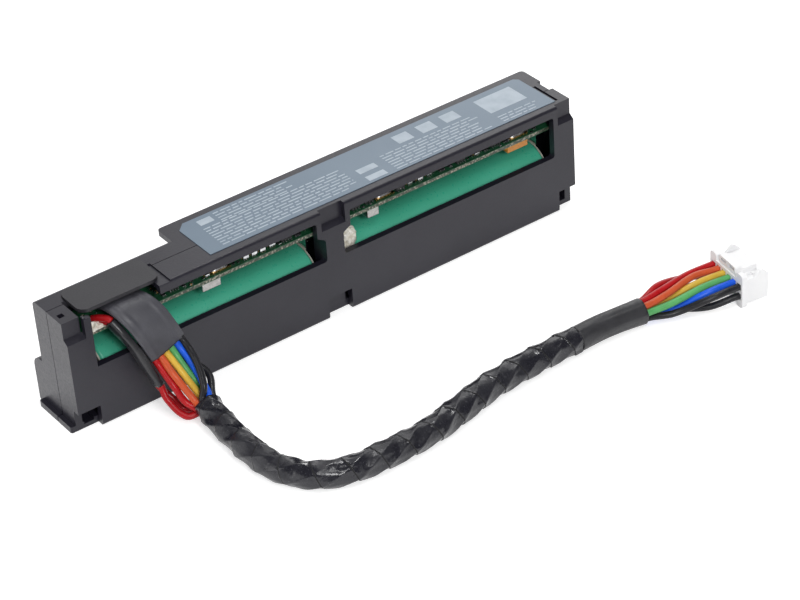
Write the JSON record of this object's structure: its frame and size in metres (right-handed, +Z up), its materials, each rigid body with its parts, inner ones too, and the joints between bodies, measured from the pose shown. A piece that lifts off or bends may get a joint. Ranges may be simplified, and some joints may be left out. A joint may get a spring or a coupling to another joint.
{
  "type": "raid battery module",
  "caption": "Long slim battery module for a disk array controller: split moulded case with open windows over round cells and a circuit board, and a taped wire harness with a plug",
  "frame": {"origin": "centre of the base plane under the case, its foot flange and rear lip included and the harness left out", "axes": "+X along the case from the cable end to the far end, +Y from the windowed front to the back, +Z up"},
  "size_m": [0.174, 0.0921, 0.0342],
  "materials": {
    "case_plastic": "fine matt moulded grain",
    "cover_plastic": "fine matt moulded grain",
    "label_film": "satin film",
    "cell_wrap": "glossy shrunk film",
    "ring_card": "matt card",
    "nickel_strip": "satin rolled strip",
    "board_laminate": "glossy solder mask on a glass and resin core",
    "chip_resin": "matt moulded resin",
    "capacitor_body": "satin fired body with tinned ends",
    "resistor_body": "glazed top with tinned ends",
    "plated_metal": "bright plated metal",
    "amber_resin": "clear amber resin",
    "solder": "bright soft solder",
    "silicone": "soft white silicone",
    "sleeve_black": "matt shrunk sleeve",
    "wire_red": "smooth wire insulation",
    "wire_orange": "smooth wire insulation",
    "wire_yellow": "smooth wire insulation",
    "wire_green": "smooth wire insulation",
    "wire_blue": "smooth wire insulation",
    "wire_black": "smooth wire insulation",
    "tape_black": "glossy lapped tape",
    "shrink_black": "matt crinkled shrunk tube",
    "plug_nylon": "satin white nylon",
    "contact_metal": "bright stamped contact"
  },
  "bodies": {
    "root": {"front_shell": "case_plastic", "rear_shell": "case_plastic", "cable_cover": "cover_plastic", "rating_label": "label_film", "cell_left": "cell_wrap", "cell_right": "cell_wrap", "insulator_left_outer": "ring_card", "insulator_left_inner": "ring_card", "insulator_right_inner": "ring_card", "insulator_right_outer": "ring_card", "tab_left": "nickel_strip", "tab_right": "nickel_strip", "centre_link": "nickel_strip", "circuit_board": "board_laminate", "board_chips": "chip_resin", "board_capacitors": "capacitor_body", "board_resistors": "resistor_body", "oval_cans": "plated_metal", "cutoff_left": "plated_metal", "cutoff_right": "plated_metal", "amber_capacitor": "amber_resin", "wire_solder": "solder", "silicone_bead_left": "silicone", "silicone_bead_middle": "silicone", "flat_sleeve": "sleeve_black", "slim_sleeve": "sleeve_black", "wire_red_1": "wire_red", "wire_red_2": "wire_red", "wire_red_3": "wire_red", "wire_orange": "wire_orange", "wire_yellow": "wire_yellow", "wire_green": "wire_green", "wire_blue": "wire_blue", "wire_black_1": "wire_black", "wire_black_2": "wire_black", "tape_wrap": "tape_black", "shrink_tube": "shrink_black", "plug_housing": "plug_nylon", "plug_contacts": "contact_metal"}
  },
  "joints": []
}
